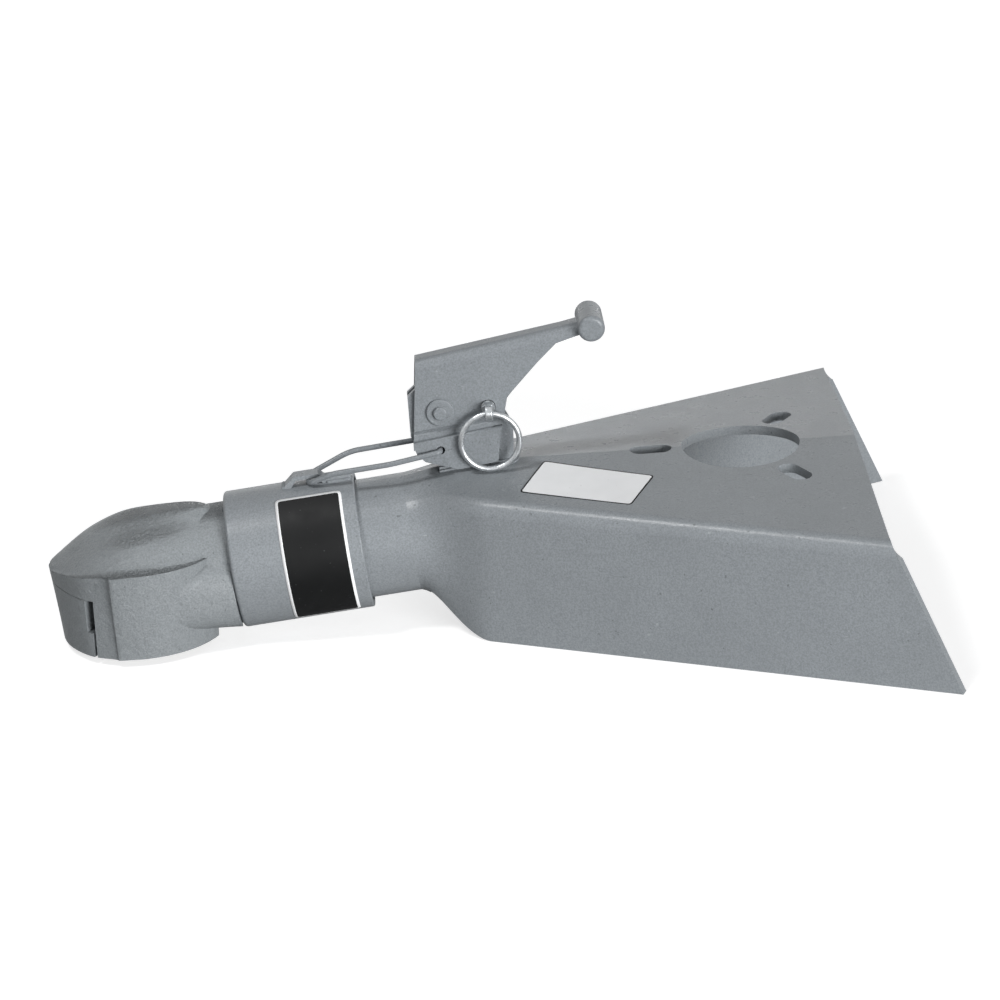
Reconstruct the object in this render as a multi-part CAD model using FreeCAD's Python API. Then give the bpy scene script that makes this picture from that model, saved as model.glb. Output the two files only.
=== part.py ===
import FreeCAD, Part
import os
from math import asin, atan, cos, pi, radians, sin, sqrt, tan

# A-frame trailer coupler with a sliding lock collar, for a 2-5/16 in tow ball.
# All sizes are in millimetres. The origin is the centre of the tow ball, +X points back
# to the trailer, +Z points up and -Y is the side that carries the pull ring.

V = FreeCAD.Vector

# Tow ball and socket
BALL_D = 58.74                # 2-5/16 in tow ball
BALL_GAP = 0.6                # play between ball and socket

# Shank: the round bar that joins head and channel
SHANK_TILT = 5.66             # the shank rises towards the trailer, degrees
SHANK_Z = 2.0                 # height of the shank's axis above the ball's centre
SHANK_R = 30.2
SPIGOT_PLAY = 0.1             # between the neck and the part of the shank that enters it
SPIGOT_L = 34.0
JOINT_S = 94.0                # where the shank meets the neck, from the ball's centre
WELD_L = 3.0                  # flush weld between shank and neck

# Socket head
HEAD_R = 46.5                 # half width at the shoulder
HEAD_FRONT = 45.3             # the nose, in front of the ball's centre
HEAD_DRAFT = 2.0              # the skirt's lower edge is this much smaller
NOSE_DRAFT = 5.5              # and its nose stands this much further back
SHOULDER_STEP = 0.8           # the dome starts this far inside the skirt's upper edge
SKIRT_Z = -26.0
SKIRT_ROUND = 4.0
SKIRT_WALL = 5.6
CHEEK_W = 33.0                # half width of the head where it meets the collar
CHEEK_N = (-32.0, 15.5)       # its lower and upper edge there, from the shank's axis
# the shoulder's side view, from the nose back
SHOULDER = ((-46.0, 10.6), (-42.0, 10.8), (-37.0, 12.5), (-25.0, 15.8), (-11.0, 18.6), (0.0, 19.3),
            (60.0, 19.3))
# the ridge's side view, from the nose back to the collar
RIDGE = ((-45.3, 10.8), (-39.0, 15.6), (-32.4, 20.4), (-25.9, 25.2), (-19.4, 28.9), (-9.9, 33.2),
         (2.5, 36.4), (14.7, 37.9), (30.0, 38.7), (39.0, 36.9), (46.5, 34.6))
# the dome's flank: shares of the half width and of the rise over the shoulder
FLANK = ((0.0, 1.0), (0.12, 0.985), (0.235, 0.9), (0.36, 0.77), (0.52, 0.63), (0.68, 0.44), (0.78, 0.25),
         (0.87, 0.09), (0.94, 0.02), (1.0, 0.0))
NOTCH_Z = 4.2                 # upper edge of the notch for the clamp's tongue
NOTCH_ANGLE = 61.5            # half angle of the notch, seen from above
LIP_W = 19.0                  # width of the fixed web behind the ball
LIP_Z = -3.0

# Ball clamp
TONGUE_ANGLE = 54.3
SLOT_SILL_Z = -13.3           # lower edge of the slot beside the tongue
SILL_INSET = 2.2              # the clamp's base stays this many degrees inside the notch
CLAMP_GAP = 0.3
ARM_BALL_GAP = 0.83           # the arms stay this far off the ball's socket
ARM_SKIRT_GAP = 0.7           # and this far off the skirt's inside
ARM_TOP_Z = -13.8
LEG_IN = 9.9                  # the two legs run beside the fixed web
LEG_OUT = 19.4
LEG_TOP = -12.5               # height of the legs' upper side from the shank's axis
HINGE_S = 75.0
HINGE_N = -18.5
HINGE_PIN_D = 9.0
HINGE_BOSS_R = 8.0
LOCK_PAD_S = 51.2             # the legs touch the collar's lip up to here
LEG_RELIEF_R = 26.4           # the legs are thinned behind the pad
NECK_CLEAR_R = 24.0           # room for the stud below the ball
SWING_ROOM = 3.8              # the arms move back by this much as they swing down

# Lock collar
COLLAR_S0 = 50.3              # front edge when locked
COLLAR_L = 66.9
COLLAR_LIP_GAP = 0.3          # the front lip guides the collar on the shank
COLLAR_PLAY = 1.7             # round the shank, behind the lip
COLLAR_WALL = 3.0
COLLAR_LIP_L = 10.0
COLLAR_ROUND = 1.8

# Bail on the collar
BAIL_W = 8.0
BAIL_T = 2.2
BAIL_S0 = 82.0
BAIL_S1 = 116.4
BAIL_ARCH_S = (88.3, 99.0)    # level part of the arch
BAIL_PLAY = 0.15              # over the wire, under the arch
BAIL_RAMP = 3.6
WELD_SIZE = 2.2

# Yoke wire between collar and lever
WIRE_D = 2.8
YOKE_S = 94.5
WIRE_PLAY = 0.2               # under the wire's loop, over the collar
WIRE_BEND = 2.1               # radius of its ends' bend into the lever
# corners of the two legs: station, distance from the middle, height over the loop, bend radius
NEAR_LEG = ((94.6, 6.8, 0.0, 4.8), (107.5, 9.2, 4.2, 24.0), (137.0, 12.0, 5.3, 60.0))
FAR_LEG = ((94.6, 6.8, 0.0, 4.8), (117.0, 10.5, 7.5, 30.0), (150.0, 12.4, 7.2, 60.0))

# Lever, its bracket and pivot
PIVOT_X = 159.1
PIVOT_Z = 81.6
PIVOT_D = 5.8
LEVER_W = 15.0                # outer width of the upper walls
LEVER_T = 2.8
LEVER_FOLD_R = 4.6
LEVER_STEP = 2.8              # the lower walls are set out by one sheet
LEVER_RISE = 9.7              # slope of the lever's back, degrees
YOKE_HOLE = (158.3, 62.2)
YOKE_HOLE_D = 4.2
LOCK_HOLE = (183.2, 82.7)
LOCK_PIN_D = 7.0
LOCK_HOLE_D = 7.6
BAR_X = 236.6
BAR_Z = 121.9
BAR_D = 13.6
BAR_L = 28.0
BRACKET_GAP = 0.15
BRACKET_T = 2.8
BRACKET_X0 = 143.2
FOOT_X = 157.0                # the bracket stands on the channel from here
BRACKET_X1 = 195.5
WASHER_R = 7.0
WASHER_T = 1.5
RIVET_HEAD_R = 3.5
RIVET_HEAD_H = 2.0

# Lock pin and pull ring
EYE_T = 4.0
EYE_W = 8.6
EYE_HOLE_R = 2.05
RING_WIRE = 3.0
RING_OD = 32.3

# Formed channel
PLATE_T = 4.8                 # 3/16 in plate
A_ANGLE = 25.0                # half of the 50 degree frame angle
APEX_X = 84.2                 # where the two fold lines would meet
CROWN_Z = 51.9                # centre line of the top plate
CROWN_DROP = 7.8              # the folds lie this much lower
FOLD_R = 8.0
FLANGE_H = 73.6
REAR_X = 368.0
NECK_END_S = 142.0            # the neck is round up to here
FORMED_X = 177.5              # the section is a plain channel from here
JACK_X = 310.0
JACK_R = 30.0
BOLT_SLOT_R = 45.7
BOLT_SLOT_L = 21.5
BOLT_SLOT_W = 11.0

# Labels, bare
LABEL_T = 0.3
COLLAR_LABEL_S = (76.7, 110.4)
COLLAR_LABEL_A = (69.0, -57.5)
PLATE_LABEL = (59.5, 33.0)
PLATE_LABEL_AT = (229.6, -33.6)

os.makedirs("parts", exist_ok=True)
TAN_A = tan(radians(A_ANGLE))
FOLD_Z = CROWN_Z - CROWN_DROP
FLANGE_Z = FOLD_Z - FLANGE_H
# what seats on, or passes through, something else
SOCKET_R = BALL_D / 2 + BALL_GAP
SPIGOT_R = SHANK_R - PLATE_T - SPIGOT_PLAY
POCKET_R = HEAD_R - HEAD_DRAFT - SKIRT_WALL
ARM_R_IN = SOCKET_R + ARM_BALL_GAP
ARM_R_OUT = POCKET_R - ARM_SKIRT_GAP
COLLAR_LIP_R = SHANK_R + COLLAR_LIP_GAP
COLLAR_BORE_R = SHANK_R + COLLAR_PLAY
COLLAR_R = COLLAR_BORE_R + COLLAR_WALL
YOKE_N = COLLAR_R + WIRE_PLAY + WIRE_D / 2       # the loop, between the collar and the bail
BAIL_ARCH_N = YOKE_N + WIRE_D / 2 + BAIL_PLAY    # underside of the bail's arch


def save(name, *solids):
    """Writes one node as a STEP file."""
    shape = solids[0] if len(solids) == 1 else Part.makeCompound(list(solids))
    shape.exportStep("parts/%s.step" % name)


def prism(points, y0, y1):
    """A flat outline in X and Z, extruded from y0 to y1."""
    ring = [V(x, y0, z) for x, z in points]
    face = Part.Face(Part.makePolygon(ring + [ring[0]]))
    return face.extrude(V(0, y1 - y0, 0))


def rod_y(x, z, r, y0, y1):
    """A round bar along Y."""
    return Part.makeCylinder(r, y1 - y0, V(x, y0, z), V(0, 1, 0))


def from_shank(shape):
    """Takes a shape drawn along the shank (X along its axis) to its place."""
    placed = shape.copy()
    placed.rotate(V(0, 0, 0), V(0, 1, 0), -SHANK_TILT)
    placed.translate(V(0, 0, SHANK_Z))
    return placed


def shank_point(s, y, n):
    """A point at station s, offset y and height n of the shank, in the part's frame."""
    t = radians(SHANK_TILT)
    return V(s * cos(t) - n * sin(t), y, s * sin(t) + n * cos(t) + SHANK_Z)


def bent_rod(corners, radii, r):
    """A round rod along straight runs, with a bend of its own radius at each inner corner."""
    edges = []
    last = corners[0]
    for i in range(1, len(corners) - 1):
        before = (corners[i - 1] - corners[i]).normalize()
        after = (corners[i + 1] - corners[i]).normalize()
        half = before.getAngle(after) / 2
        room = min((corners[i] - last).Length, (corners[i + 1] - corners[i]).Length * 0.5) * 0.98
        bend = min(radii[i - 1], room * tan(half))
        start = corners[i] + before * (bend / tan(half))
        end = corners[i] + after * (bend / tan(half))
        inward = (before + after).normalize()
        middle = corners[i] + inward * (bend / sin(half) - bend)
        edges += [Part.makeLine(last, start), Part.Arc(start, middle, end).toShape()]
        last = end
    edges.append(Part.makeLine(last, corners[-1]))
    direction = corners[1] - corners[0]
    disc = Part.Face(Part.Wire(Part.makeCircle(r, corners[0], direction)))
    return Part.Wire(edges).makePipe(disc)


def rounded(shape, radius, keep):
    """Fillets the edges that keep() accepts, one size down if the corner is too tight."""
    edges = [e for e in shape.Edges if keep(e)]
    for size in (radius, radius * 0.6, radius * 0.3):
        try:
            result = shape.makeFillet(size, edges)
            if result.isValid() and result.Volume > 0:
                return result
        except Exception:
            continue
    return shape


# The formed channel

def arc_points(cx, cz, r, a0, a1, steps):
    return [(cx + r * sin(a0 + (a1 - a0) * i / steps), cz + r * cos(a0 + (a1 - a0) * i / steps))
            for i in range(steps + 1)]


def channel_side(x, inset, floor):
    """One half of the channel's section at x: top, fold, flange and half of the open floor.

    inset is 0 for the outside and the plate's thickness for the inside.
    """
    w = (x - APEX_X) * TAN_A - inset / cos(radians(A_ANGLE))
    slope = atan(CROWN_DROP / ((x - APEX_X) * TAN_A))
    top_z = CROWN_Z - inset / cos(slope)
    r = FOLD_R - inset
    # the fold's arc touches the sloped top and the upright flange
    cx = w - r
    cz = top_z - cx * tan(slope) - r / cos(slope)
    fold = arc_points(cx, cz, r, slope, pi / 2, 6)
    y1, z1 = fold[0]
    top = [(y1 * i / 6, top_z + (z1 - top_z) * i / 6) for i in range(7)]
    flange = [(w, cz + (floor - cz) * i / 6) for i in range(7)]
    bottom = [(w * (1 - i / 5), floor) for i in range(6)]
    return [[V(x, y, z) for y, z in part] for part in (top, fold, flange, bottom)]


def round_side(s, inset):
    """One half of the neck's round section at station s, in the same four parts."""
    r = SHANK_R - inset
    parts = []
    for a0, a1, steps in ((0, 40, 6), (40, 68, 6), (68, 132, 6), (132, 180, 5)):
        angles = [radians(a0 + (a1 - a0) * i / steps) for i in range(steps + 1)]
        parts.append([shank_point(s, r * sin(a), r * cos(a)) for a in angles])
    return parts


def curve_through(points):
    """A straight line where the points lie on one, else a smooth curve."""
    chord = points[-1] - points[0]
    if max(p.distanceToLine(points[0], chord) for p in points) < 1e-6:
        return Part.makeLine(points[0], points[-1])
    curve = Part.BSplineCurve()
    curve.interpolate(points)
    return curve.toShape()


def section_edges(half):
    """The edges of a closed section from its right half, mirrored in Y; the floor is one piece."""
    top, fold, flange, bottom = half
    mirror = lambda points: [V(p.x, -p.y, p.z) for p in points[::-1]]
    floor = bottom + mirror(bottom)[1:]
    pieces = [top, fold, flange, floor, mirror(flange), mirror(fold), mirror(top)]
    return [curve_through(p) for p in pieces]


def section_wire(half):
    return Part.Wire(section_edges(half))


def straight_faces(half_a, half_b):
    """The faces between two sections; the flanges and the floor come out as true planes."""
    faces = []
    for i, (a, b) in enumerate(zip(section_edges(half_a), section_edges(half_b))):
        if i in (2, 3, 4):
            a0, a1, b0, b1 = (e.valueAt(t) for e, t in ((a, a.FirstParameter), (a, a.LastParameter),
                                                        (b, b.FirstParameter), (b, b.LastParameter)))
            faces.append(Part.Face(Part.makePolygon([a0, a1, b1, b0, a0])))
        else:
            faces.append(Part.makeRuledSurface(a, b))
    return faces


def blend(a, b, k):
    return [[p * (1 - k) + q * k for p, q in zip(u, w)] for u, w in zip(a, b)]


def smooth(k):
    return k * k * (3 - 2 * k)


def channel_form(inset, start, floor):
    """The solid inside one skin of the formed piece: round neck, transition and channel."""
    wires = [section_wire(round_side(start, inset))]
    steps = 7
    for i in range(steps + 1):
        k = i / steps
        at = NECK_END_S + (FORMED_X - NECK_END_S) * k
        side = blend(round_side(at, inset), channel_side(at, inset, floor), smooth(k ** 0.75))
        wires.append(section_wire(side))
    formed = channel_side(FORMED_X, inset, floor)
    end = channel_side(REAR_X + 50, inset, floor)
    neck = Part.makeLoft(wires[:2], False, True)
    middle = Part.makeLoft(wires[1:], False, False)
    faces = neck.Faces + middle.Faces + straight_faces(formed, end)
    faces += [Part.Face(wires[0]), Part.Face(section_wire(end))]
    shell = Part.makeShell(faces)
    shell.sewShape()
    solid = Part.makeSolid(shell if shell.ShapeType == "Shell" else shell.Shells[0])
    if solid.Volume < 0:
        solid.reverse()
    return solid


def radial_slot(angle):
    """A slot for a jack bolt, pointing at the middle of the jack hole."""
    half = BOLT_SLOT_L / 2 - BOLT_SLOT_W / 2
    r = BOLT_SLOT_W / 2
    bar = Part.makeBox(2 * half, BOLT_SLOT_W, 40, V(-half, -r, CROWN_Z - 30))
    for end in (-half, half):
        bar = bar.fuse(Part.makeCylinder(r, 40, V(end, 0, CROWN_Z - 30)))
    bar.translate(V(BOLT_SLOT_R, 0, 0))
    bar.rotate(V(0, 0, 0), V(0, 0, 1), angle)
    bar.translate(V(JACK_X, 0, 0))
    return bar


def rear_trim():
    """Everything behind the rear edge of the folded blank.

    The blank is cut straight across, so its folded flanges lean back by the frame angle, and
    every cut stays square to the plate.
    """
    reach = 120
    inside = FOLD_R / cos(radians(A_ANGLE))
    plan = [V(x, side * ((x - APEX_X) * TAN_A - inside), FLANGE_Z - 40)
            for side, x in ((1, REAR_X), (1, REAR_X + reach), (-1, REAR_X + reach), (-1, REAR_X))]
    trim = [Part.Face(Part.makePolygon(plan + [plan[0]])).extrude(V(0, 0, 300))]
    q0 = (REAR_X - APEX_X) / cos(radians(A_ANGLE))
    near_r, far_r = 1.5, FOLD_R + 12
    for side in (1, -1):
        # the cut turns round the fold's centre line, then runs straight down the flange
        frames = []
        for angle in (0, 30, 60, 90):
            a = radians(angle)
            back = q0 + FOLD_R * TAN_A * (2 * angle / 90 - 1)
            frames.append((back, sin(a), cos(a), 0.0))
        drop = FOLD_Z - FOLD_R - FLANGE_Z + 20
        frames.append((frames[-1][0] + drop * TAN_A, 1.0, 0.0, drop))
        quads = []
        for back, out, up, down in frames:
            ring = [V(q, side * (r * out - FOLD_R), FOLD_Z - FOLD_R + r * up - down)
                    for q, r in ((back, near_r), (back, far_r), (q0 + reach + 60, far_r),
                                 (q0 + reach + 60, near_r))]
            quads.append(Part.makePolygon(ring + [ring[0]]))
        cut = Part.makeLoft(quads, True, True)
        cut.rotate(V(0, 0, 0), V(0, 0, 1), side * A_ANGLE)
        cut.translate(V(APEX_X, 0, 0))
        trim.append(cut)
    return trim


channel_outside = channel_form(0, JOINT_S, FLANGE_Z)
channel_inside = channel_form(PLATE_T, JOINT_S - 5, FLANGE_Z - 30)
channel = channel_outside.cut(channel_inside)
channel = channel.cut(rear_trim())
channel = channel.cut(Part.makeCylinder(JACK_R, 60, V(JACK_X, 0, CROWN_Z - 40)))
channel = channel.cut([radial_slot(a) for a in (180, 60, -60)])
save("a_frame_channel", channel)

# The socket head with its shank

def height_at(x, profile):
    """Height at x of a side view that is straight between its points."""
    for (x0, z0), (x1, z1) in zip(profile, profile[1:]):
        if x <= x1:
            return z0 + (z1 - z0) * (x - x0) / (x1 - x0)
    return profile[-1][1]


def head_width(x):
    """Half width of the head at the shoulder: a bow in front of the ball, round behind it."""
    if x < 0:
        return HEAD_R * max(1 - (-x / HEAD_FRONT) ** 1.75, 0.0) ** 0.72
    return sqrt(max(HEAD_R ** 2 - x * x, 60.0))


def dome_section(x):
    """A cross-section of the dome: a flat-topped ridge with flanks down to the shoulder."""
    b = head_width(x) - SHOULDER_STEP
    shoulder = height_at(x, SHOULDER)
    rise = max(height_at(x, RIDGE) - shoulder, 0.8)
    right = [V(x, b * u, shoulder + rise * h) for u, h in FLANK]
    left = [V(x, -p.y, p.z) for p in right[:0:-1]]
    curve = Part.BSplineCurve()
    curve.interpolate(left + right)
    low = shoulder - 4
    inner = max(b - 3, 0.5)
    foot = [V(x, b, shoulder), V(x, inner, low), V(x, -inner, low), V(x, -b, shoulder)]
    return Part.Wire([curve.toShape()] + [Part.makeLine(p, q) for p, q in zip(foot, foot[1:])])


SHOULDER_TOP = SHOULDER[-1][1]
skirt_foot_r = HEAD_R - HEAD_DRAFT
skirt_foot_front = HEAD_FRONT - NOSE_DRAFT


def skirt_solid():
    """The skirt: a bow-shaped plan at the shoulder and a nearly round one at the lower edge."""
    top = [(-HEAD_FRONT * u, head_width(-HEAD_FRONT * u)) for u in (0.98, 0.9, 0.75, 0.5, 0.25)]
    foot = [(-skirt_foot_front * sin(radians(a)), skirt_foot_r * cos(radians(a)))
            for a in (75, 60, 45, 30, 15)]
    wires = []
    for points, nose, r, z in ((foot, skirt_foot_front, skirt_foot_r, SKIRT_Z),
                               (top, HEAD_FRONT, HEAD_R, SHOULDER_TOP)):
        left = [V(0, r, z)] + [V(x, y, z) for x, y in points[::-1]]
        ring = left + [V(-nose, 0, z)] + [V(p.x, -p.y, z) for p in left[::-1]]
        curve = Part.BSplineCurve()
        curve.interpolate(Points=ring, InitialTangent=V(-1, 0, 0), FinalTangent=V(1, 0, 0))
        back = Part.Arc(V(0, -r, z), V(r, 0, z), V(0, r, z)).toShape()
        wires.append(Part.Wire([curve.toShape(), back]))
    body = Part.makeLoft(wires, True, True)
    side_view = [(x, z) for x, z in SHOULDER if x > -HEAD_FRONT - 3] + [(60, SKIRT_Z - 1), (-60, SKIRT_Z - 1),
                                                                        (-60, SHOULDER[0][1])]
    body = body.common(prism(side_view, -60, 60))
    return rounded(body, SKIRT_ROUND,
                   lambda e: abs(e.BoundBox.ZMax - SKIRT_Z) < 0.01 and e.BoundBox.ZLength < 0.01)


def cheek_section(k):
    """A section between the skirt's inside (k = 0) and the head's end at the collar (k = 1)."""
    start_x, width, low, high = 14.0, HEAD_R - 4.5, SKIRT_Z + 6.5, SHOULDER_TOP - 0.9
    end_s = COLLAR_S0 - 0.4
    ring = []
    for i in range(24):
        a = 2 * pi * i / 24
        bulge = [abs(cos(a)) ** power * (1 if cos(a) > 0 else -1) for power in (0.45, 0.8)]
        lift = [abs(sin(a)) ** power * (1 if sin(a) > 0 else -1) for power in (0.45, 0.8)]
        first = V(start_x, width * bulge[0], (low + high) / 2 + (high - low) / 2 * lift[0])
        mid_n, half_n = sum(CHEEK_N) / 2, (CHEEK_N[1] - CHEEK_N[0]) / 2
        last = shank_point(end_s, CHEEK_W * bulge[1], mid_n + half_n * lift[1])
        ring.append(first * (1 - k) + last * k)
    curve = Part.BSplineCurve()
    curve.interpolate(ring, True)
    return Part.Wire(curve.toShape())


skirt = skirt_solid()
dome_x = (-43.5, -39.0, -33.0, -26.0, -17.0, -6.0, 6.0, 18.0, 29.0, 38.0, 44.5)
dome = Part.makeLoft([dome_section(x) for x in dome_x], True, False)
cheeks = Part.makeLoft([cheek_section(0), cheek_section(1)], True, True)
shank = from_shank(Part.makeCylinder(SHANK_R, JOINT_S, V(0, 0, 0), V(1, 0, 0)))
head = skirt.fuse([dome, cheeks, shank])

# the cavity: a ball socket over a straight throat, and a wider pocket for the clamp's arms
cavity = Part.makeSphere(SOCKET_R).fuse(Part.makeCylinder(SOCKET_R, 40, V(0, 0, -40)))
pocket_z = ARM_TOP_Z + 0.5
front_arc = Part.Arc(V(0, POCKET_R, pocket_z), V(-POCKET_R, 0, pocket_z), V(0, -POCKET_R, pocket_z))
rear_arc = Part.Arc(V(SWING_ROOM, -POCKET_R, pocket_z), V(SWING_ROOM + POCKET_R, 0, pocket_z),
                    V(SWING_ROOM, POCKET_R, pocket_z))
pocket_edges = [front_arc.toShape(), Part.makeLine(front_arc.EndPoint, rear_arc.StartPoint),
                rear_arc.toShape(),
                Part.makeLine(rear_arc.EndPoint, front_arc.StartPoint)]
pocket = Part.Face(Part.Wire(pocket_edges)).extrude(V(0, 0, -40))
lip = Part.makeBox(60, LIP_W, 60, V(0, -LIP_W / 2, -60 + LIP_Z))
lip = lip.cut(Part.makeSphere(SOCKET_R + 0.1)).cut(Part.makeCylinder(NECK_CLEAR_R, 80, V(0, 0, -70)))


def wedge(angle, z0, z1):
    """A slice of pie in front of the ball, for the notch and the tongue."""
    ring = [V(0, 0, z0)] + [V(-100 * cos(radians(a)), 100 * sin(radians(a)), z0)
                            for a in (-angle, -angle / 2, 0, angle / 2, angle)]
    return Part.Face(Part.makePolygon(ring + [ring[0]])).extrude(V(0, 0, z1 - z0))


notch = wedge(NOTCH_ANGLE, SKIRT_Z - 20, NOTCH_Z).cut(Part.makeCylinder(20, 100, V(0, 0, -50)))
hollow = cavity.fuse([pocket, notch]).cut(lip)
head = head.cut(hollow)

# grooves for the clamp's two legs, open below, beside the fixed web
leg_zone = [(20, LEG_TOP + 0.6), (HINGE_S, HINGE_N + HINGE_BOSS_R + 0.5),
            (HINGE_S + HINGE_BOSS_R + 0.6, HINGE_N + HINGE_BOSS_R - 2),
            (HINGE_S + HINGE_BOSS_R + 0.6, -60), (20, -60)]
for side in (1, -1):
    y0, y1 = sorted((side * (LEG_IN - CLAMP_GAP), side * (LEG_OUT + CLAMP_GAP)))
    head = head.cut(from_shank(prism(leg_zone, y0, y1)))
pin_at = shank_point(HINGE_S, 0, HINGE_N)
pin_half = sqrt(SHANK_R ** 2 - (abs(HINGE_N) + HINGE_PIN_D / 2) ** 2) - 0.2
head = head.cut(rod_y(pin_at.x, pin_at.z, HINGE_PIN_D / 2, -40, 40))
spigot = Part.makeCylinder(SPIGOT_R, SPIGOT_L + WELD_L, V(JOINT_S - WELD_L, 0, 0), V(1, 0, 0))
shoulder_cut = Part.makeCylinder(SHANK_R + 1, 10, V(JOINT_S - WELD_L, 0, 0), V(1, 0, 0))
head = head.cut(from_shank(shoulder_cut)).fuse(from_shank(spigot))
save("socket_head", head)

weld_ring = Part.makeCylinder(SHANK_R - 0.15, WELD_L, V(JOINT_S - WELD_L, 0, 0), V(1, 0, 0))
weld_ring = weld_ring.cut(Part.makeCylinder(SPIGOT_R, 60, V(JOINT_S - 30, 0, 0), V(1, 0, 0)))
save("shank_weld", from_shank(weld_ring))
save("clamp_hinge_pin", rod_y(pin_at.x, pin_at.z, HINGE_PIN_D / 2 - 0.02, -pin_half, pin_half))

# The ball clamp: tongue, two arms round the ball and two legs to the hinge

tongue = skirt.common(wedge(TONGUE_ANGLE, SKIRT_Z, NOTCH_Z - CLAMP_GAP))
base = skirt.common(wedge(NOTCH_ANGLE - SILL_INSET, SKIRT_Z, SLOT_SILL_Z))
front = tongue.fuse(base)
front = front.cut(Part.makeSphere(SOCKET_R)).cut(Part.makeCylinder(NECK_CLEAR_R, 80, V(0, 0, -40)))
front = front.cut(Part.makeBox(60, 100, 100, V(-17.0, -50, -60)))
arms = Part.makeCylinder(ARM_R_OUT, ARM_TOP_Z - SKIRT_Z, V(0, 0, SKIRT_Z))
arms = arms.cut(Part.makeCylinder(ARM_R_IN, 60, V(0, 0, -40)))
arms = arms.cut(Part.makeBox(80, 2 * LEG_IN, 60, V(0, -LEG_IN, -40)))
legs = []
for side in (1, -1):
    y0, y1 = sorted((side * LEG_IN, side * LEG_OUT))
    leg_outline = [(27, LEG_TOP), (HINGE_S - 4, HINGE_N + HINGE_BOSS_R - 1.0), (HINGE_S, HINGE_N),
                   (HINGE_S - 2, -60), (27, -60)]
    leg = prism(leg_outline, y0, y1).fuse(rod_y(HINGE_S, HINGE_N, HINGE_BOSS_R, y0, y1))
    # inside the collar the legs stay within this body of revolution
    bound = [(20, 0), (20, SHANK_R + 3), (COLLAR_S0 - 2.5, SHANK_R + 1), (COLLAR_S0 - 0.4, SHANK_R - 0.2),
             (LOCK_PAD_S, SHANK_R - 0.3), (57.5, LEG_RELIEF_R + 0.4), (60, LEG_RELIEF_R),
             (66, LEG_RELIEF_R), (HINGE_S, SHANK_R - 0.7), (HINGE_S + 12, SHANK_R - 0.7), (HINGE_S + 12, 0)]
    ring = [V(s, 0, n) for s, n in bound]
    turned = Part.Face(Part.makePolygon(ring + [ring[0]])).revolve(V(0, 0, 0), V(1, 0, 0), 360)
    legs.append(from_shank(leg.common(turned)))
clamp = front.fuse([arms] + legs)
behind_tongue = Part.makeCylinder(ARM_R_IN, 60, V(0, 0, -40)).cut(Part.makeBox(80, 100, 100, V(-97, -50, -60)))
clamp = clamp.cut(behind_tongue)
clamp = clamp.common(Part.makeBox(200, 100, 60, V(-60, -50, SKIRT_Z - 4)))
clamp = clamp.cut(rod_y(pin_at.x, pin_at.z, HINGE_PIN_D / 2 + 0.05, -40, 40))
save("ball_clamp", clamp)

# The lock collar with its bail

profile = [(COLLAR_S0, COLLAR_LIP_R), (COLLAR_S0, COLLAR_R), (COLLAR_S0 + COLLAR_L, COLLAR_R),
           (COLLAR_S0 + COLLAR_L, COLLAR_BORE_R), (COLLAR_S0 + COLLAR_LIP_L + 1, COLLAR_BORE_R),
           (COLLAR_S0 + COLLAR_LIP_L, COLLAR_LIP_R)]
ring = [V(s, 0, n) for s, n in profile]
collar = Part.Face(Part.makePolygon(ring + [ring[0]])).revolve(V(0, 0, 0), V(1, 0, 0), 360)
collar = rounded(collar, COLLAR_ROUND,
                 lambda e: abs(e.BoundBox.XMax - COLLAR_S0) < 0.01 and e.BoundBox.ZMax > COLLAR_R - 0.01)
collar = rounded(collar, 0.8,
                 lambda e: (abs(e.BoundBox.XMin - COLLAR_S0 - COLLAR_L) < 0.01
                            and e.BoundBox.ZMax > COLLAR_R - 0.01))
save("lock_collar", from_shank(collar))

a0, a1 = BAIL_ARCH_S
low_n = COLLAR_R - 1.5
strip = [(BAIL_S0, low_n), (BAIL_S0, COLLAR_R + 0.6), (a0 - 0.8, BAIL_ARCH_N + BAIL_T),
         (a1 + 0.6, BAIL_ARCH_N + BAIL_T),
         (a1 + BAIL_RAMP + 0.4, COLLAR_R + BAIL_T), (BAIL_S1, COLLAR_R + BAIL_T), (BAIL_S1, low_n),
         (a1 + BAIL_RAMP - 0.6, low_n), (a1 + BAIL_RAMP - 0.6, COLLAR_R - 0.4), (a1, BAIL_ARCH_N),
         (a0, BAIL_ARCH_N), (a0 - BAIL_RAMP + 0.6, COLLAR_R - 0.4), (a0 - BAIL_RAMP + 0.6, low_n)]
bail = prism(strip, -BAIL_W / 2, BAIL_W / 2)
bail = rounded(bail, 1.0, lambda e: e.BoundBox.YLength > BAIL_W - 0.1 and e.BoundBox.ZMin > COLLAR_R)
bail = bail.cut(Part.makeCylinder(COLLAR_R, 200, V(0, 0, 0), V(1, 0, 0)))
save("collar_bail", from_shank(bail))


def weld_bead(s0, s1, y):
    """A bead along the shank on the collar's surface, at the side y of the bail."""
    n = sqrt(COLLAR_R ** 2 - y * y)
    bead = Part.makeCylinder(WELD_SIZE / 2, s1 - s0, V(s0, y, n), V(1, 0, 0))
    ends = [Part.makeSphere(WELD_SIZE / 2, V(s, y, n)) for s in (s0, s1)]
    bead = bead.fuse(ends)
    return bead.cut(Part.makeCylinder(COLLAR_R, 200, V(0, 0, 0), V(1, 0, 0))).cut(bail)


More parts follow.
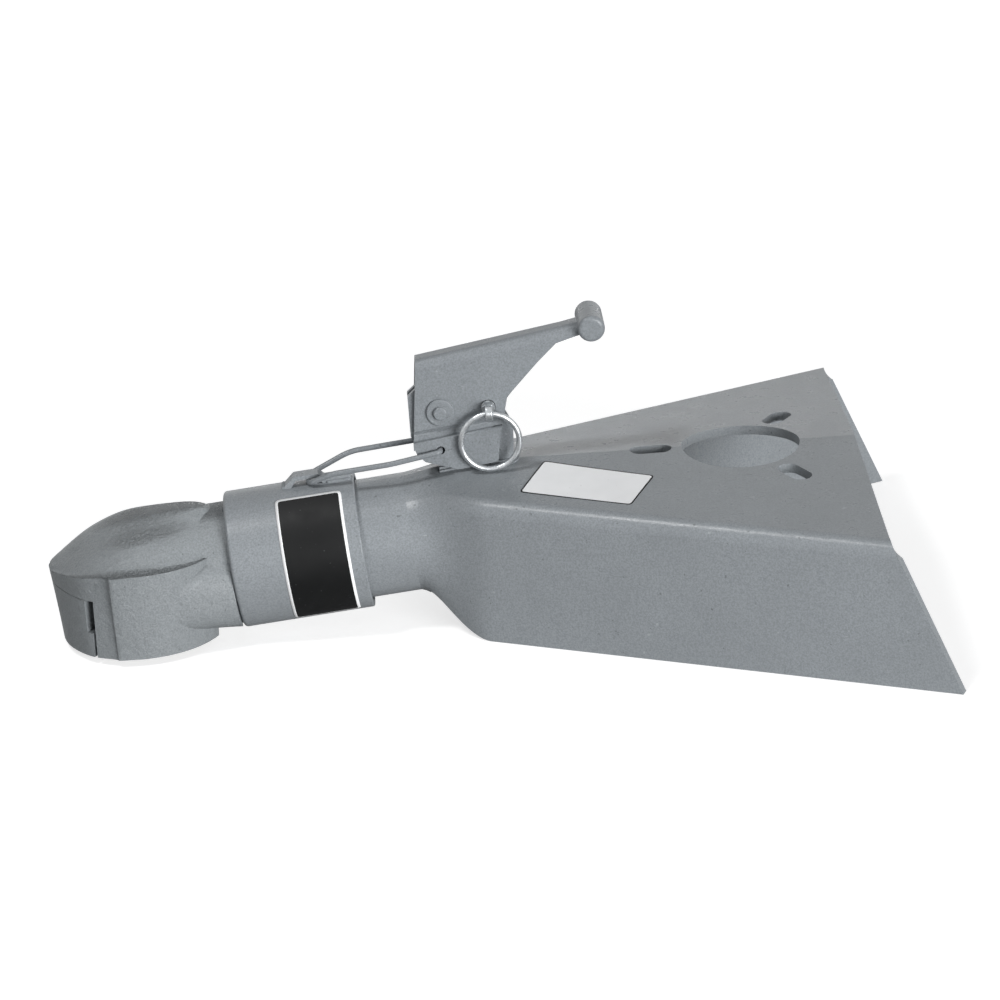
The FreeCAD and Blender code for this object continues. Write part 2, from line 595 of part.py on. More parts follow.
bail_beads = []
for side in (1, -1):
    y = side * (BAIL_W / 2 + 0.2)
    bail_beads.append(from_shank(weld_bead(a1 + BAIL_RAMP + 2, BAIL_S1 - 1.5, y)))
n_foot = COLLAR_R + 0.1
bead = Part.makeCylinder(WELD_SIZE / 2, BAIL_W, V(BAIL_S0 - 0.2, -BAIL_W / 2, n_foot), V(0, 1, 0))
bead = bead.cut(Part.makeCylinder(COLLAR_R, 200, V(0, 0, 0), V(1, 0, 0))).cut(bail)
bail_beads.append(from_shank(bead))
save("bail_welds", *bail_beads)

# the bare label that wraps the near side of the collar
s0, s1 = COLLAR_LABEL_S
label = Part.makeCylinder(COLLAR_R + LABEL_T, s1 - s0, V(s0, 0, 0), V(1, 0, 0))
label = label.cut(Part.makeCylinder(COLLAR_R + 0.02, 200, V(0, 0, 0), V(1, 0, 0)))
up, down = COLLAR_LABEL_A
turns = [radians(down + (up - down) * i / 6) for i in range(7)]
spread = [(0.0, 0.0)] + [(-80 * cos(turn), 80 * sin(turn)) for turn in turns]
fan_ring = [V(0, y, z) for y, z in spread]
fan = Part.Face(Part.makePolygon(fan_ring + [fan_ring[0]])).extrude(V(200, 0, 0))
label = label.common(fan)
label = rounded(label, 2.5, lambda e: e.Length < LABEL_T + 0.05)
save("collar_label", from_shank(label))

# The yoke wire

lever_out = LEVER_W / 2 + LEVER_STEP
hook_y = lever_out + 0.3
wire_y = hook_y + WIRE_BEND + 0.05
HOOK_SHIFT = 0.5
hook_x = YOKE_HOLE[0] - HOOK_SHIFT
hook_z = YOKE_HOLE[1] - 0.1


def to_shank(x, z):
    """Station and height in the shank's frame of a point in the part's frame."""
    t = radians(SHANK_TILT)
    return x * cos(t) + (z - SHANK_Z) * sin(t), -x * sin(t) + (z - SHANK_Z) * cos(t)


hook_s, hook_n = to_shank(hook_x, hook_z)
near_end = [(hook_s, wire_y, hook_n, WIRE_BEND), (hook_s, hook_y, hook_n, 0)]
near_leg = [(s, y, YOKE_N + rise, r) for s, y, rise, r in NEAR_LEG]
far_leg = [(s, y, YOKE_N + rise, r) for s, y, rise, r in FAR_LEG]
corners = [(s, -y, n, r) for s, y, n, r in near_end[::-1] + near_leg[::-1]]
corners += far_leg + near_end
route = [shank_point(s, y, n) for s, y, n, r in corners]
yoke_wire = bent_rod(route, [c[3] for c in corners[1:-1]], WIRE_D / 2)
save("yoke", yoke_wire)
hooks = []
for side in (1, -1):
    y0, y1 = sorted((side * (lever_out - LEVER_T - 2.2), side * (hook_y - 0.15)))
    hooks.append(rod_y(hook_x, hook_z, WIRE_D / 2, y0, y1))
save("yoke_hooks", *hooks)

# The lever

rise = tan(radians(LEVER_RISE))
back_z = lambda x: 111.7 + (x - 164.8) * rise
upper = [(144.8, 63.8), (148.2, back_z(148.2)), (222.0, back_z(222.0)), (231.5, back_z(231.5) + 0.5),
         (231.5, 117.6), (226.0, 116.0), (218.8, 113.8), (209.2, 104.6), (195.2, 89.6), (193.0, 86.9),
         (191.4, 79.5), (189.4, 70.0)]
upper_solid = prism(upper, -LEVER_W / 2, LEVER_W / 2)
upper_solid = rounded(upper_solid, LEVER_FOLD_R,
                      lambda e: e.BoundBox.XLength > 50 and e.BoundBox.ZMin > 100 and e.BoundBox.YLength < 0.01)
inner = [(130, 40), (130, back_z(130) - LEVER_T), (240, back_z(240) - LEVER_T), (240, 40)]
inner_solid = prism(inner, -LEVER_W / 2 + LEVER_T, LEVER_W / 2 - LEVER_T)
inner_solid = rounded(inner_solid, LEVER_FOLD_R - LEVER_T,
                      lambda e: e.BoundBox.XLength > 50 and e.BoundBox.ZMin > 90 and e.BoundBox.YLength < 0.01)
lever = upper_solid.cut(inner_solid)
# the solid nose that carries the cross bar
nose = prism([(214, back_z(214) - 1), (232.0, back_z(232.0) - 0.6), (232.0, 117.6), (221, 115.0),
              (216.5, 111.6)],
             -LEVER_W / 2 + 2, LEVER_W / 2 - 2)
lever = lever.fuse(nose)
# the lower walls are joggled out to clear the bracket's weld
lower = [(144.7, 64.4), (146.4, 60.2), (150.2, 56.4), (166.9, 51.4), (186.8, 54.2), (188.8, 71.0)]
step_in = [(144.8, 66.6), (144.7, 62.8), (188.6, 69.2), (189.8, 73.0)]
for side in (1, -1):
    y0, y1 = sorted((side * (lever_out - LEVER_T), side * lever_out))
    lever = lever.fuse(prism(lower, y0, y1))
    y0, y1 = sorted((side * (LEVER_W / 2 - LEVER_T), side * lever_out))
    lever = lever.fuse(prism(step_in, y0, y1))
# slopes the joggle so that it reads as a bend
for side in (1, -1):
    shelf = Part.makeBox(80, 6, 6, V(-10, 0, 0))
    shelf.rotate(V(0, 0, 0), V(1, 0, 0), 45)
    shelf.rotate(V(0, 0, 0), V(0, 1, 0), -7.0)
    shelf.translate(V(144.0, side * (lever_out + 0.25), 66.3))
    lever = lever.cut(shelf)
lever = lever.cut(rod_y(PIVOT_X, PIVOT_Z, PIVOT_D / 2 + 0.06, -30, 30))
lever = lever.cut(rod_y(YOKE_HOLE[0], YOKE_HOLE[1], YOKE_HOLE_D / 2, -30, 30))
lever = lever.cut(rod_y(LOCK_HOLE[0], LOCK_HOLE[1], LOCK_HOLE_D / 2, -30, 30))
save("lever", lever)

bar = rod_y(BAR_X, BAR_Z, BAR_D / 2, -BAR_L / 2, BAR_L / 2)
bar = rounded(bar, 2.2, lambda e: True)
bar = bar.cut(lever)
save("lever_cross_bar", bar)

# Bracket, pivot rivet and washers

half = LEVER_W / 2 - LEVER_T - BRACKET_GAP
bracket_outline = [(FOOT_X, 30), (FOOT_X, 53.5), (150.5, 57.5), (146.5, 62.5), (BRACKET_X0 + 0.4, 68.5),
                   (BRACKET_X0, 89.6), (147.2, 93.2), (186.8, 86.2), (BRACKET_X1, 70.0), (BRACKET_X1 - 1.0, 30)]
u_out = Part.makeBox(BRACKET_X1 - half - BRACKET_X0 + 5, 2 * half, 120, V(BRACKET_X0 - 5, -half, 0))
u_out = u_out.fuse(Part.makeCylinder(half, 120, V(BRACKET_X1 - half, 0, 0)))
r_in = half - BRACKET_T
u_in = Part.makeBox(BRACKET_X1 - half - BRACKET_X0 + 20, 2 * r_in, 130, V(BRACKET_X0 - 20, -r_in, -5))
u_in = u_in.fuse(Part.makeCylinder(r_in, 130, V(BRACKET_X1 - half, 0, -5)))
bracket = prism(bracket_outline, -half, half).common(u_out).cut(u_in)
bracket = bracket.cut(rod_y(PIVOT_X, PIVOT_Z, PIVOT_D / 2, -30, 30))
notch_r = LOCK_PIN_D / 2 + 0.4
groove = rod_y(LOCK_HOLE[0], LOCK_HOLE[1], notch_r, -30, 30)
notch_box = Part.makeBox(2 * notch_r + 1.2, 60, 30, V(LOCK_HOLE[0] - notch_r - 1.2, -30, LOCK_HOLE[1]))
groove = groove.fuse(notch_box)
bracket = bracket.cut(groove)
bracket = bracket.cut(channel_outside)
bracket = max(bracket.Solids, key=lambda s: s.Volume)
save("lever_bracket", bracket)



def skin_layer(zone, height):
    """A layer of this height on top of the channel, within the upright zone."""
    raised = channel_outside.copy()
    raised.translate(V(0, 0, height))
    return zone.common(raised).cut(zone.common(channel_outside))


def bracket_foot(margin):
    """The bracket's plan, wider by a margin, as an upright column."""
    w = half + margin
    column = Part.makeBox(BRACKET_X1 - half - FOOT_X, 2 * w, 80, V(FOOT_X, -w, 20))
    return column.fuse(Part.makeCylinder(w, 80, V(BRACKET_X1 - half, 0, 20)))


bracket_weld = skin_layer(bracket_foot(WELD_SIZE), WELD_SIZE * 0.45)
bracket_weld = bracket_weld.fuse(skin_layer(bracket_foot(WELD_SIZE * 0.5), WELD_SIZE))
bracket_weld = bracket_weld.cut([bracket, u_in])
save("bracket_weld", bracket_weld)

rivet_end = LEVER_W / 2 + WASHER_T + 0.2
rivet = rod_y(PIVOT_X, PIVOT_Z, PIVOT_D / 2 - 0.01, -rivet_end, rivet_end)
washers = []
for side in (1, -1):
    w0 = side * (LEVER_W / 2 + 0.1)
    w1 = side * (LEVER_W / 2 + 0.1 + WASHER_T)
    y0, y1 = sorted((w0, w1))
    bore = rod_y(PIVOT_X, PIVOT_Z, PIVOT_D / 2, y0 - 1, y1 + 1)
    washer = rod_y(PIVOT_X, PIVOT_Z, WASHER_R, y0, y1).cut(bore)
    outer_edge = lambda e, y=w1: abs(e.BoundBox.YMax - y) < 0.01 and e.BoundBox.XLength > 2 * WASHER_R - 0.1
    washers.append(rounded(washer, 0.7, outer_edge))
    y0, y1 = sorted((w1, w1 + side * RIVET_HEAD_H))
    cap = rod_y(PIVOT_X, PIVOT_Z, RIVET_HEAD_R, y0, y1)
    tip = w1 + side * RIVET_HEAD_H
    cap = rounded(cap, 0.8, lambda e, y=tip: abs(e.BoundBox.YMax - y) < 0.01 and e.BoundBox.XLength > 1)
    rivet = rivet.fuse(cap)
save("pivot_rivet", rivet)
save("pivot_washers", *washers)

# Lock pin and pull ring

lx, lz = LOCK_HOLE
pin_y0 = -LEVER_W / 2 - 0.8
pin_y1 = LEVER_W / 2 + 3.5
eye_y = -LEVER_W / 2 - 6.2
ring_r = (RING_OD - RING_WIRE) / 2
eye_z = lz - 1.2
pin = rod_y(lx, lz, LOCK_PIN_D / 2, pin_y0, pin_y1)
pin = rounded(pin, 1.4, lambda e: abs(e.BoundBox.YMin - pin_y1) < 0.01)
stalk = Part.makeBox(EYE_T, -(eye_y - pin_y0) + 1.0, LOCK_PIN_D - 0.6,
                     V(lx - EYE_T / 2, eye_y, lz - LOCK_PIN_D / 2 + 0.3))
eye = Part.makeCylinder(EYE_W / 2, EYE_T, V(lx - EYE_T / 2, eye_y, eye_z), V(1, 0, 0))
eye = rounded(eye, 0.9, lambda e: e.BoundBox.ZLength > 1)
pin = pin.fuse([stalk, eye])
pin = pin.cut(Part.makeCylinder(EYE_HOLE_R, EYE_T + 4, V(lx - EYE_T / 2 - 2, eye_y, eye_z), V(1, 0, 0)))
save("lock_pin", pin)
ring_top = eye_z - (EYE_HOLE_R - RING_WIRE / 2) + 0.12
pull_ring = Part.makeTorus(ring_r, RING_WIRE / 2, V(lx, eye_y, ring_top - ring_r), V(0, 1, 0))
save("pull_ring", pull_ring)

# The bare label on the top plate

length, width = PLATE_LABEL
label_x, label_y = PLATE_LABEL_AT
patch = Part.makeBox(length, width, 30, V(-length / 2, -width / 2, 0))
patch = rounded(patch, 1.5, lambda e: e.BoundBox.ZLength > 20)
patch.rotate(V(0, 0, 0), V(0, 0, 1), -A_ANGLE - 0.5)
patch.translate(V(label_x, label_y, CROWN_Z - 20))
save("plate_label", skin_layer(patch, LABEL_T))
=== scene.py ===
"""A-frame trailer coupler: finishes, labels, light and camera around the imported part."""

import math

import bpy
from mathutils import Matrix, Vector

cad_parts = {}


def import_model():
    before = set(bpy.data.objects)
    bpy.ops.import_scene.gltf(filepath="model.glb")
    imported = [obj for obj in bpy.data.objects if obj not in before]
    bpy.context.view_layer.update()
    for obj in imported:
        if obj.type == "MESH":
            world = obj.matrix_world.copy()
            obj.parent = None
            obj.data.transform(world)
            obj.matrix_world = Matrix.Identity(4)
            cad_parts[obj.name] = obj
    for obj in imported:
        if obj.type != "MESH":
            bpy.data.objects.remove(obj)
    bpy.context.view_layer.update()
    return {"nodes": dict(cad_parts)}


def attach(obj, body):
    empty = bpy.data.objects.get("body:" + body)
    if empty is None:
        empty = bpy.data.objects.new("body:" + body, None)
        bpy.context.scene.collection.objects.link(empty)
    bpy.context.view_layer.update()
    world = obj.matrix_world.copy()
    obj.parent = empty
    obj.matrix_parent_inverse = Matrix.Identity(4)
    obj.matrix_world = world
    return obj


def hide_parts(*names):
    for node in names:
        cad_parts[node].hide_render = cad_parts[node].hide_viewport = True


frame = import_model()

MM = 0.001

# Places taken over from the part, in millimetres
SHANK_TILT = math.radians(5.66)
SHANK_Z = 2.0
COLLAR_R = 34.9
COLLAR_LABEL_S = (76.7, 110.4)
COLLAR_LABEL_A = (69.0, -57.5)
PLATE_LABEL = (59.5, 33.0)
PLATE_LABEL_AT = (229.6, -33.6)
PLATE_LABEL_TURN = math.radians(-25.5)
APEX_X = 84.2
A_TAN = math.tan(math.radians(25.0))
CROWN_Z = 51.9
CROWN_DROP = 7.8
FLOOR_Z = -29.5

# Labels, in millimetres
FILM_TOP = 0.28               # the film's upper side over what carries it
FILM_T = 0.24
FILM_CELL = 1.6               # size of the film's mesh cells
COLLAR_LABEL_CORNER = 2.6
COLLAR_LABEL_RIM = 1.4
PLATE_LABEL_CORNER = 2.0
PLATE_LABEL_RIM = 0.8

# Gloss levels, the same all over a surface
PAINT_GLOSS = 0.26
FILM_GLOSS = 0.2
ZINC_METAL = 0.85

# Floor and room, in metres
FLOOR_HALF = 4.0
FLOOR_DROP = 0.0003
FLOOR_GREY = (0.55, 0.55, 0.55, 1.0)
FLOOR_GLOW = 0.72             # added for the camera, so that the floor looks white with a shadow on it
ROOM_COLOUR = (0.95, 0.98, 1.0, 1.0)
ROOM_LIGHT = 0.1

# Lamps: name, place, aim, size in metres, power in watts, and whether it is mirrored in the paint
LAMPS = (
    ("key", (-0.5, -0.38, 1.45), (0.18, 0.0, 0.03), (0.26, 0.26), 10.5, True),
    ("front", (1.4, -2.0, 0.32), (0.2, 0.0, 0.0), (1.3, 0.9), 70.0, True),
    ("rear", (0.4, 2.2, 0.22), (0.2, 0.0, 0.0), (1.4, 0.5), 38.0, False),
)

# Camera, from the photograph
CAMERA_AT = Vector((139.9, -1795.9, 723.3))
CAMERA_BACK = Vector((-0.0243, -0.93253, 0.36029))
CAMERA_UP = Vector((0.06713, 0.35806, 0.93128))
CAMERA_LENS = 136.5           # millimetres, on a square sensor
CAMERA_SENSOR = 36.0
CAMERA_CLIP = (0.05, 20.0)    # metres


# Node helpers

class Shader:
    """A node material under construction."""

    def __init__(self, name):
        self.material = bpy.data.materials.new(name)
        self.material.use_nodes = True
        self.tree = self.material.node_tree
        self.tree.nodes.clear()
        self.output = self.tree.nodes.new("ShaderNodeOutputMaterial")
        places = self.tree.nodes.new("ShaderNodeTexCoord").outputs
        self.coords = places["Object"]
        self.facing = places["Normal"]

    def add(self, kind, inputs=None, **settings):
        node = self.tree.nodes.new("ShaderNode" + kind)
        for key, value in settings.items():
            setattr(node, key, value)
        for key, value in (inputs or {}).items():
            if isinstance(value, bpy.types.NodeSocket):
                self.tree.links.new(value, node.inputs[key])
            else:
                node.inputs[key].default_value = value
        return node

    def noise(self, scale, detail=3.0, rough=0.55, distortion=0.0):
        node = self.add("TexNoise", {"Vector": self.coords, "Scale": scale, "Detail": detail,
                                     "Roughness": rough, "Distortion": distortion})
        return node.outputs["Fac"]

    def remap(self, value, low, high, to_low=0.0, to_high=1.0):
        node = self.add("MapRange", {"Value": value, "From Min": low, "From Max": high,
                                     "To Min": to_low, "To Max": to_high}, clamp=True)
        return node.outputs["Result"]

    def math(self, operation, a, b=0.0):
        node = self.add("Math", {0: a, 1: b}, operation=operation)
        return node.outputs[0]

    def mix(self, factor, a, b, blend="MIX"):
        node = self.add("Mix", {0: factor, 6: a, 7: b}, data_type="RGBA", blend_type=blend)
        return node.outputs[2]

    def bump(self, height, strength, distance, normal=None):
        inputs = {"Height": height, "Strength": strength, "Distance": distance}
        if normal is not None:
            inputs["Normal"] = normal
        return self.add("Bump", inputs).outputs["Normal"]

    def surface(self, **inputs):
        shader = self.add("BsdfPrincipled", {key.replace("_", " "): value for key, value in inputs.items()})
        self.tree.links.new(shader.outputs["BSDF"], self.output.inputs["Surface"])
        return self.material


def rgb(red, green, blue):
    """A colour given in 0 to 255 as it should look, for a shader socket."""
    def linear(value):
        value = value / 255.0
        return value / 12.92 if value <= 0.04045 else ((value + 0.055) / 1.055) ** 2.4
    return (linear(red), linear(green), linear(blue), 1.0)


# Materials

def primer(name, colour, peel=0.45, wave=0.0, cast=0.0, crest_grain_and_shade=0.0, roughness=0.29):
    """Sprayed grey primer: a fine even grain, faint clouds, few small pits and dust specks.

    wave adds the slow unevenness of formed plate, cast the grain of a forging, and crest a coarse
    grain where a surface faces up, with painted shade that darkens the colour there.
    """
    s = Shader(name)
    base = rgb(*colour)
    darker = rgb(*[c * 0.955 for c in colour])
    lighter = rgb(*[min(c * 1.035, 255) for c in colour])
    clouds = s.remap(s.noise(22.0, 5.0, 0.62), 0.36, 0.66)
    shade = s.mix(clouds, darker, lighter)
    shade = s.mix(0.5, shade, base)
    grain = s.remap(s.noise(1100.0, 3.0, 0.7), 0.4, 0.62)
    shade = s.mix(s.math("MULTIPLY", grain, 0.7), shade, rgb(*[c * 0.84 for c in colour]))
    pits = s.remap(s.noise(520.0, 1.0, 0.4), 0.745, 0.79)
    shade = s.mix(s.math("MULTIPLY", pits, 0.5), shade, rgb(*[c * 0.55 for c in colour]))
    dust = s.remap(s.noise(330.0, 1.0, 0.4, 0.4), 0.765, 0.8)
    shade = s.mix(s.math("MULTIPLY", dust, 0.22), shade, rgb(190, 195, 198))
    rough = s.remap(s.noise(90.0, 5.0, 0.65), 0.3, 0.7, roughness - 0.04, roughness + 0.06)
    normal = s.bump(s.noise(640.0, 4.0, 0.62), peel, 0.00022)
    normal = s.bump(pits, 0.35, 0.00012, normal)
    if wave:
        normal = s.bump(s.noise(26.0, 2.0, 0.5), wave, 0.0016, normal)
    if cast:
        normal = s.bump(s.noise(190.0, 6.0, 0.7, 0.3), cast, 0.0012, normal)
    if crest_grain_and_shade:
        facing = s.add("SeparateXYZ", {"Vector": s.facing}).outputs["Z"]
        mask = s.remap(facing, 0.88, 0.97)
        chips = s.remap(s.noise(520.0, 3.0, 0.7, 0.2), 0.38, 0.62)
        normal = s.bump(s.math("MULTIPLY", chips, mask), crest_grain_and_shade, 0.0012, normal)
        # painted shade: the colour is made darker wherever the surface faces up
        shade = s.mix(s.math("MULTIPLY", mask, 0.6), shade, rgb(*[c * 0.84 for c in colour]))
    return s.surface(Base_Color=shade, Roughness=rough, Normal=normal, Specular_IOR_Level=PAINT_GLOSS)


def zinc(name):
    """Bright zinc on round wire: faint streaks and a slightly uneven gloss."""
    s = Shader(name)
    shade = s.mix(s.remap(s.noise(260.0, 4.0, 0.6), 0.3, 0.7), rgb(168, 172, 175), rgb(206, 209, 211))
    rough = s.remap(s.noise(480.0, 3.0, 0.6), 0.3, 0.7, 0.24, 0.38)
    normal = s.bump(s.noise(900.0, 2.0, 0.5), 0.15, 0.00008)
    return s.surface(Base_Color=shade, Roughness=rough, Normal=normal, Metallic=ZINC_METAL)


def film(name, colour, roughness):
    """Printed label film: nearly even, with a little dust and a soft edge in its gloss."""
    s = Shader(name)
    light = rgb(*[min(c + 10, 255) for c in colour])
    shade = s.mix(s.remap(s.noise(60.0, 4.0, 0.6), 0.35, 0.7, 0.0, 0.5), rgb(*colour), light)
    dust = s.remap(s.noise(700.0, 1.0, 0.4), 0.74, 0.8, 0.0, 0.25)
    shade = s.mix(dust, shade, rgb(110, 112, 114))
    rough = s.remap(s.noise(140.0, 3.0, 0.6), 0.3, 0.7, roughness - 0.05, roughness + 0.07)
    normal = s.bump(s.noise(240.0, 2.0, 0.5), 0.12, 0.00012)
    return s.surface(Base_Color=shade, Roughness=rough, Normal=normal, Specular_IOR_Level=FILM_GLOSS)


PLATE_GREY = (142, 147, 151)
FORGED_GREY = (143, 148, 151)
materials = {
    "plate": primer("primer_on_plate", PLATE_GREY, wave=0.04),
    "forging": primer("primer_on_forging", FORGED_GREY, cast=0.85, crest_grain_and_shade=1.0, roughness=0.32),
    "collar": primer("primer_on_collar", (143, 148, 152), wave=0.03),
    # painted shade: the lever's primer is the plate's grey made about 5 % darker, to offset the lever facing
    # the front lamp more directly
    "lever": primer("primer_on_lever_with_painted_shade", (134, 139, 143), wave=0.02),
    "wire": primer("primer_on_wire", (132, 137, 141), peel=0.2),
    "weld": primer("primer_on_weld", (132, 137, 141), cast=0.6, roughness=0.5),
    "zinc": zinc("bright_zinc"),
    "black_film": film("black_label_film", (11, 12, 13), 0.5),
    "white_film": film("white_label_film", (243, 244, 245), 0.5),
}
FINISH = {
    "a_frame_channel": "plate", "socket_head": "forging", "ball_clamp": "forging", "shank_weld": "weld",
    "clamp_hinge_pin": "zinc", "lock_collar": "collar", "collar_bail": "collar", "bail_welds": "weld",
    "collar_label": "black_film", "yoke": "wire", "yoke_hooks": "wire", "lever": "lever",
    "lever_cross_bar": "lever", "lever_bracket": "lever", "bracket_weld": "weld", "pivot_rivet": "lever",
    "pivot_washers": "lever", "lock_pin": "zinc", "pull_ring": "zinc", "plate_label": "white_film",
}


def dress(node_object, material):
    """Gives a part's node its finish and leaves its mesh as it is."""
    if not node_object.material_slots:
        return
    for slot in node_object.material_slots:
        slot.link = "OBJECT"
        slot.material = material


for node, finish in FINISH.items():
    dress(frame["nodes"][node], materials[finish])


# Labels: bare films with a printed border

def rounded_grid(width, height, corner, border):
    """Cells of a rounded rectangle: its points (u, v), and its quads, each with whether it is in the rim."""
    def lines(size):
        inner = size / 2 - border
        count = max(2, round(2 * inner / FILM_CELL))
        middle = [-inner + 2 * inner * i / count for i in range(count + 1)]
        return [-size / 2] + middle + [size / 2]
    us = lines(width)
    vs = lines(height)
    reach_u = width / 2 - corner
    reach_v = height / 2 - corner
    points = []
    for v in vs:
        for u in us:
            over_u = abs(u) - reach_u
            over_v = abs(v) - reach_v
            pu, pv = u, v
            if over_u > 0 and over_v > 0:
                length = math.hypot(over_u, over_v)
                limit = max(over_u, over_v)
                pu = math.copysign(reach_u + over_u * limit / length, u)
                pv = math.copysign(reach_v + over_v * limit / length, v)
            points.append((pu, pv))
    cells = []
    columns = len(us)
    for j in range(len(vs) - 1):
        for i in range(columns - 1):
            rim = i in (0, columns - 2) or j in (0, len(vs) - 2)
            first = j * columns + i
            cells.append(((first, first + 1, first + columns + 1, first + columns), rim))
    return points, cells


def film_piece(name, size, corner, border, place, field, rim, body, node):
    """A label as a thin sheet with a rim of another colour, laid by place(u, v, height).

    It rides on body, stands for node and takes its finishes from field and rim.
    """
    points, cells = rounded_grid(size[0], size[1], corner, border)
    mesh = bpy.data.meshes.new(name)
    top = [place(u, v, FILM_TOP) for u, v in points]
    mesh.from_pydata([p * MM for p in top], [], [ids for ids, _ in cells])
    mesh.materials.append(field)
    mesh.materials.append(rim)
    for polygon, (_, in_rim) in zip(mesh.polygons, cells):
        polygon.material_index = 1 if in_rim else 0
        polygon.use_smooth = True
    mesh.update()
    piece = bpy.data.objects.new(name, mesh)
    bpy.context.collection.objects.link(piece)
    thickness = piece.modifiers.new("film", "SOLIDIFY")
    thickness.thickness = FILM_T * MM
    thickness.offset = -1
    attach(piece, body)
    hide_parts(node)


def shank_point(s, y, n):
    """A point at station s, offset y and height n of the shank."""
    return Vector((s * math.cos(SHANK_TILT) - n * math.sin(SHANK_TILT), y,
                   s * math.sin(SHANK_TILT) + n * math.cos(SHANK_TILT) + SHANK_Z))


def on_collar(u, v, height):
    """u along the collar from its label's middle, v up round its near side."""
    s = sum(COLLAR_LABEL_S) / 2 + u
    angle = math.radians(sum(COLLAR_LABEL_A) / 2) + v / COLLAR_R
    r = COLLAR_R + height
    return shank_point(s, -r * math.cos(angle), r * math.sin(angle))


def on_plate(u, v, height):
    """u along the near fold, v across it, on the crowned top plate."""
    c, s = math.cos(PLATE_LABEL_TURN), math.sin(PLATE_LABEL_TURN)
    x = PLATE_LABEL_AT[0] + u * c - v * s
    y = PLATE_LABEL_AT[1] + u * s + v * c
    z = CROWN_Z - CROWN_DROP * abs(y) / ((x - APEX_X) * A_TAN)
    return Vector((x, y, z + height))


collar_span = (COLLAR_LABEL_S[1] - COLLAR_LABEL_S[0],
               math.radians(COLLAR_LABEL_A[0] - COLLAR_LABEL_A[1]) * COLLAR_R)
film_piece("collar_label_film", collar_span, COLLAR_LABEL_CORNER, COLLAR_LABEL_RIM, on_collar,
           materials["black_film"], materials["white_film"], "collar", "collar_label")
film_piece("plate_label_film", PLATE_LABEL, PLATE_LABEL_CORNER, PLATE_LABEL_RIM, on_plate,
           materials["white_film"], materials["black_film"], "frame", "plate_label")


# Floor, light and camera

def white_where_seen(tree, shader_output):
    """Mixes a surface with plain white for the camera, glossy and clear rays."""
    path = tree.nodes.new("ShaderNodeLightPath")
    mirrored = tree.nodes.new("ShaderNodeMath")
    mirrored.operation = "MAXIMUM"
    tree.links.new(path.outputs["Is Glossy Ray"], mirrored.inputs[0])
    tree.links.new(path.outputs["Is Transmission Ray"], mirrored.inputs[1])
    seen = tree.nodes.new("ShaderNodeMath")
    seen.operation = "MAXIMUM"
    tree.links.new(path.outputs["Is Camera Ray"], seen.inputs[0])
    tree.links.new(mirrored.outputs[0], seen.inputs[1])
    white = tree.nodes.new("ShaderNodeEmission")
    mix = tree.nodes.new("ShaderNodeMixShader")
    tree.links.new(seen.outputs[0], mix.inputs[0])
    tree.links.new(shader_output, mix.inputs[1])
    tree.links.new(white.outputs[0], mix.inputs[2])
    return mix.outputs[0]


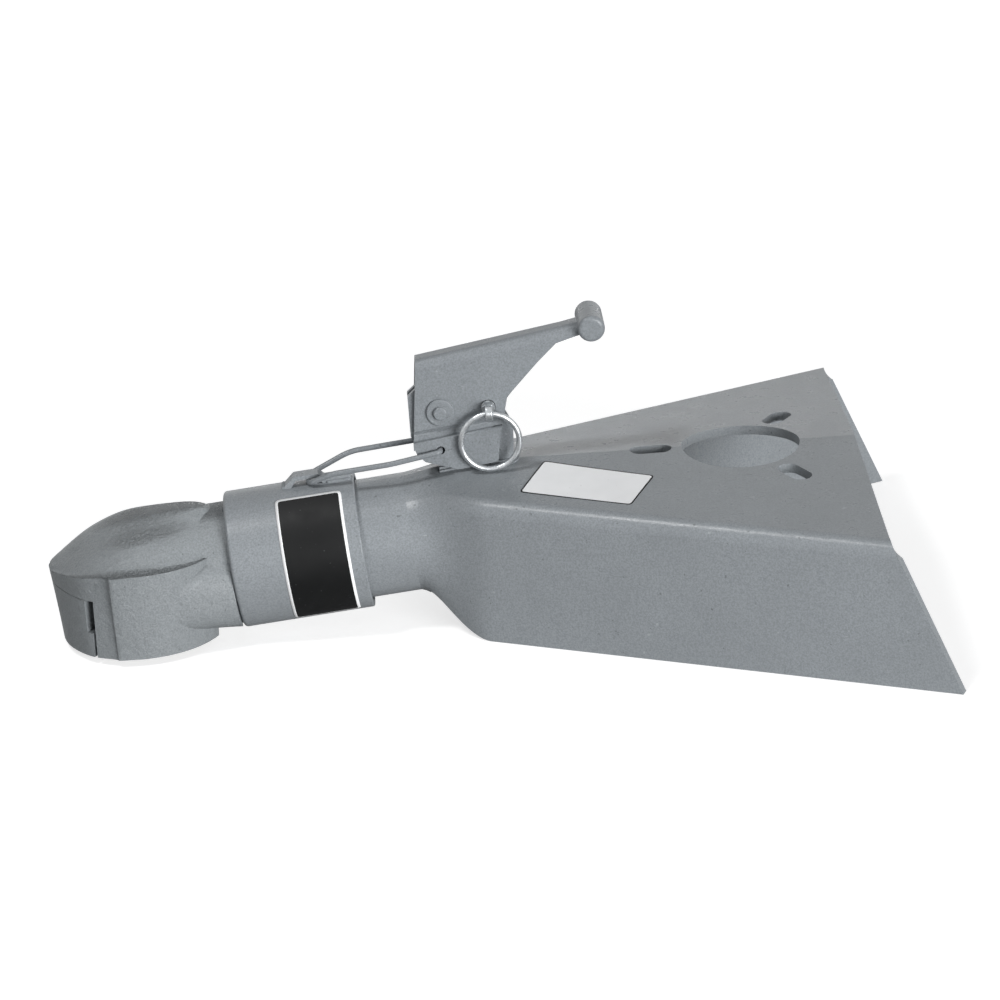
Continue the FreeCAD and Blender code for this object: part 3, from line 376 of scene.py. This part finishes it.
def floor():
    """Pale paper: the glow makes it white for the camera, and the object's shadow stays on it."""
    mesh = bpy.data.meshes.new("floor")
    height = FLOOR_Z * MM - FLOOR_DROP
    corners = [(x * FLOOR_HALF, y * FLOOR_HALF, height) for x, y in ((-1, -1), (1, -1), (1, 1), (-1, 1))]
    mesh.from_pydata(corners, [], [(0, 1, 2, 3)])
    plane = bpy.data.objects.new("floor", mesh)
    bpy.context.collection.objects.link(plane)
    material = bpy.data.materials.new("white_floor")
    material.use_nodes = True
    tree = material.node_tree
    tree.nodes.clear()
    output = tree.nodes.new("ShaderNodeOutputMaterial")
    paper = tree.nodes.new("ShaderNodeBsdfDiffuse")
    paper.inputs["Color"].default_value = FLOOR_GREY
    path = tree.nodes.new("ShaderNodeLightPath")
    level = tree.nodes.new("ShaderNodeMath")
    level.operation = "MULTIPLY"
    level.inputs[1].default_value = FLOOR_GLOW
    tree.links.new(path.outputs["Is Camera Ray"], level.inputs[0])
    glow = tree.nodes.new("ShaderNodeEmission")
    tree.links.new(level.outputs[0], glow.inputs["Strength"])
    both = tree.nodes.new("ShaderNodeAddShader")
    tree.links.new(paper.outputs[0], both.inputs[0])
    tree.links.new(glow.outputs[0], both.inputs[1])
    tree.links.new(both.outputs[0], output.inputs["Surface"])
    mesh.materials.append(material)


def world():
    """A dim even room that looks white wherever it is seen or mirrored."""
    room = bpy.data.worlds.new("studio")
    bpy.context.scene.world = room
    room.use_nodes = True
    tree = room.node_tree
    tree.nodes.clear()
    output = tree.nodes.new("ShaderNodeOutputWorld")
    air = tree.nodes.new("ShaderNodeBackground")
    air.inputs["Color"].default_value = ROOM_COLOUR
    air.inputs["Strength"].default_value = ROOM_LIGHT
    tree.links.new(white_where_seen(tree, air.outputs[0]), output.inputs["Surface"])


def softbox(name, at, aim, size, power, mirrored):
    """A rectangular lamp; one that isn't mirrored lights the paint and leaves no highlight on it."""
    light = bpy.data.lights.new(name, "AREA")
    light.shape = "RECTANGLE"
    light.size, light.size_y = size
    light.energy = power
    lamp = bpy.data.objects.new(name, light)
    lamp.location = at
    lamp.rotation_euler = (Vector(aim) - Vector(at)).to_track_quat("-Z", "Y").to_euler()
    lamp.visible_glossy = mirrored
    bpy.context.collection.objects.link(lamp)


def camera():
    """The photograph's camera, from its place, its direction and its lens."""
    data = bpy.data.cameras.new("photo_camera")
    data.lens = CAMERA_LENS
    data.sensor_width = CAMERA_SENSOR
    data.sensor_height = CAMERA_SENSOR
    data.sensor_fit = "HORIZONTAL"
    data.clip_start, data.clip_end = CAMERA_CLIP
    cam = bpy.data.objects.new("photo_camera", data)
    back = CAMERA_BACK.normalized()
    right = CAMERA_UP.cross(back).normalized()
    up = back.cross(right)
    turn = Matrix((right, up, back)).transposed().to_4x4()
    cam.matrix_world = Matrix.Translation(CAMERA_AT * MM) @ turn
    bpy.context.collection.objects.link(cam)
    bpy.context.scene.camera = cam


floor()
world()
for lamp in LAMPS:
    softbox(*lamp)
camera()
bpy.context.scene.view_settings.view_transform = "Standard"
